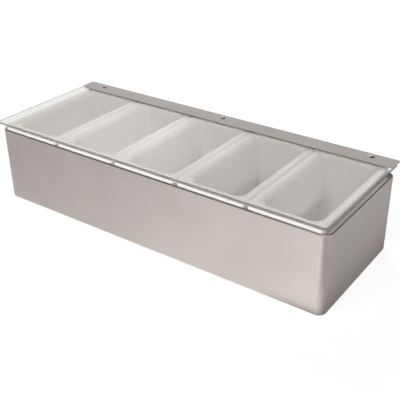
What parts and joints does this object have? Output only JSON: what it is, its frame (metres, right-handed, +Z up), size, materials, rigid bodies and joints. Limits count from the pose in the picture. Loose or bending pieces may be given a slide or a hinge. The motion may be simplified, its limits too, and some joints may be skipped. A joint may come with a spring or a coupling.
{
  "type": "bar fruit dispenser",
  "caption": "Long stainless steel bar box with a row of white lift-out garnish tubs under a clear lid that hinges along the back.",
  "frame": {"origin": "middle of the box's flat floor, on the surface it stands on", "axes": "+Z up; +X along the box's length, to the right seen from the front; the front is -Y and the hinge is at +Y"},
  "size_m": [0.4866, 0.1861, 0.1114],
  "materials": {
    "housing_steel": "brushed",
    "strip_steel": "brushed",
    "hinge_steel": "plain",
    "rivet_steel": "smooth",
    "tub_white": "gloss",
    "lid_clear": "clear gloss"
  },
  "bodies": {
    "base": {"housing": "housing_steel", "insert_1": "tub_white", "insert_2": "tub_white", "insert_3": "tub_white", "insert_4": "tub_white", "insert_5": "tub_white", "hinge_leaf_body": "hinge_steel", "hinge_pin": "hinge_steel", "body_rivets": "rivet_steel"},
    "lid": {"lid_panel": "lid_clear", "lid_edge_strip": "strip_steel", "lid_rivets": "rivet_steel", "hinge_leaf_lid": "hinge_steel"}
  },
  "joints": [
    {"name": "lid_hinge", "type": "hinge", "parent": "base", "child": "lid", "pos_m": [-0.0046, 0.08675, 0.1032], "axis": [-1, 0, 0], "range_deg": [0, 100]}
  ]
}
